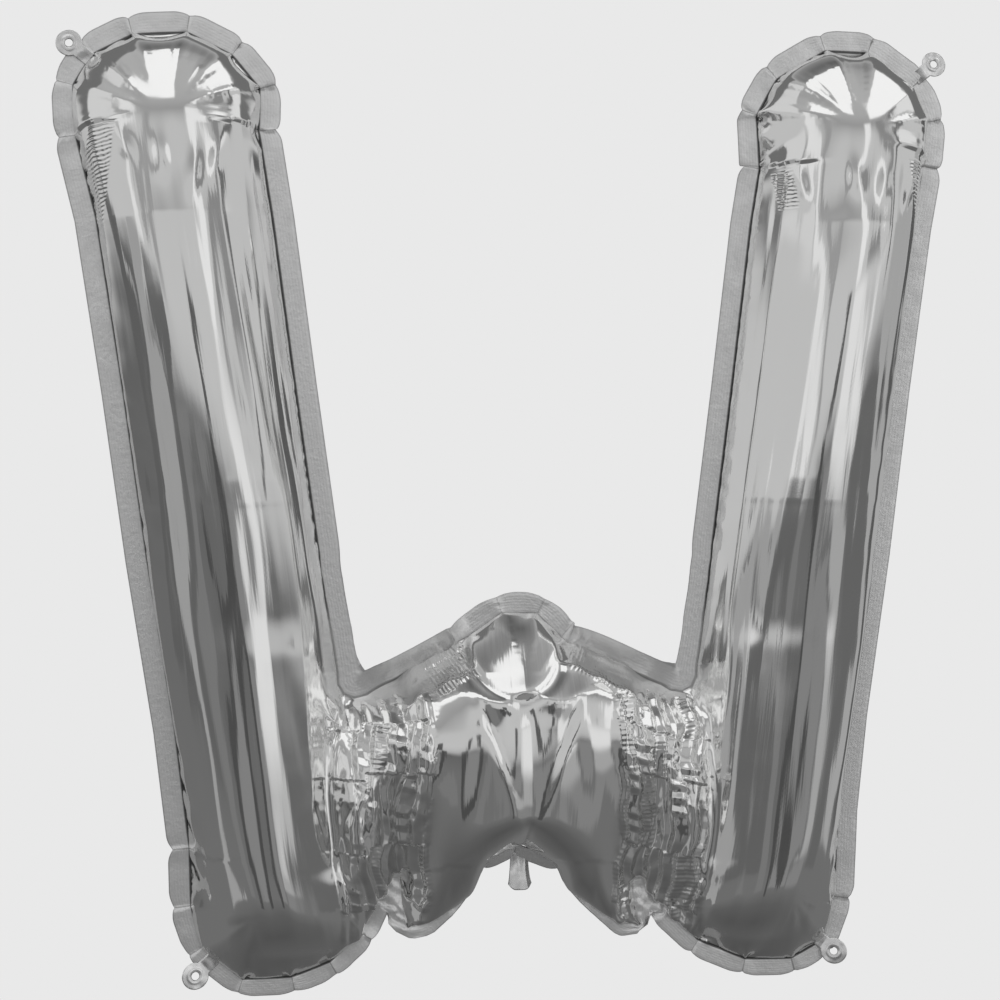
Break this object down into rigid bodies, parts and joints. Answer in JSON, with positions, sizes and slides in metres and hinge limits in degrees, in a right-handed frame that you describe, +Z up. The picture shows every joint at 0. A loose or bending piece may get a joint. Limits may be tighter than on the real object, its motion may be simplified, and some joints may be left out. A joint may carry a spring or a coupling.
{
  "type": "letter foil balloon",
  "caption": "Blown-up capital W of silver metallised film: round tubular limbs, a flat welded margin, hanging tabs and a filling tail.",
  "frame": {"origin": "in the seam plane, on the letter's line of symmetry, at mid height", "axes": "+Z up the letter, +X to its right as it is read, +Y from its front to its rear"},
  "size_m": [0.8124, 0.145, 0.8731],
  "materials": {
    "silver_film": "mirror-bright metallised film, finely puckered",
    "welded_film": "two heat-sealed layers of the film, satin silver",
    "tab_film": "flat sealed film, satin silver",
    "tail_film": "flat sealed film, paler and duller than the panels"
  },
  "bodies": {
    "root": {"front_panel": "silver_film", "rear_panel": "silver_film", "seam_margin": "welded_film", "hanging_tab_upper_left": "tab_film", "hanging_tab_upper_right": "tab_film", "hanging_tab_lower_left": "tab_film", "hanging_tab_lower_right": "tab_film", "inflation_tail": "tail_film"}
  },
  "joints": []
}
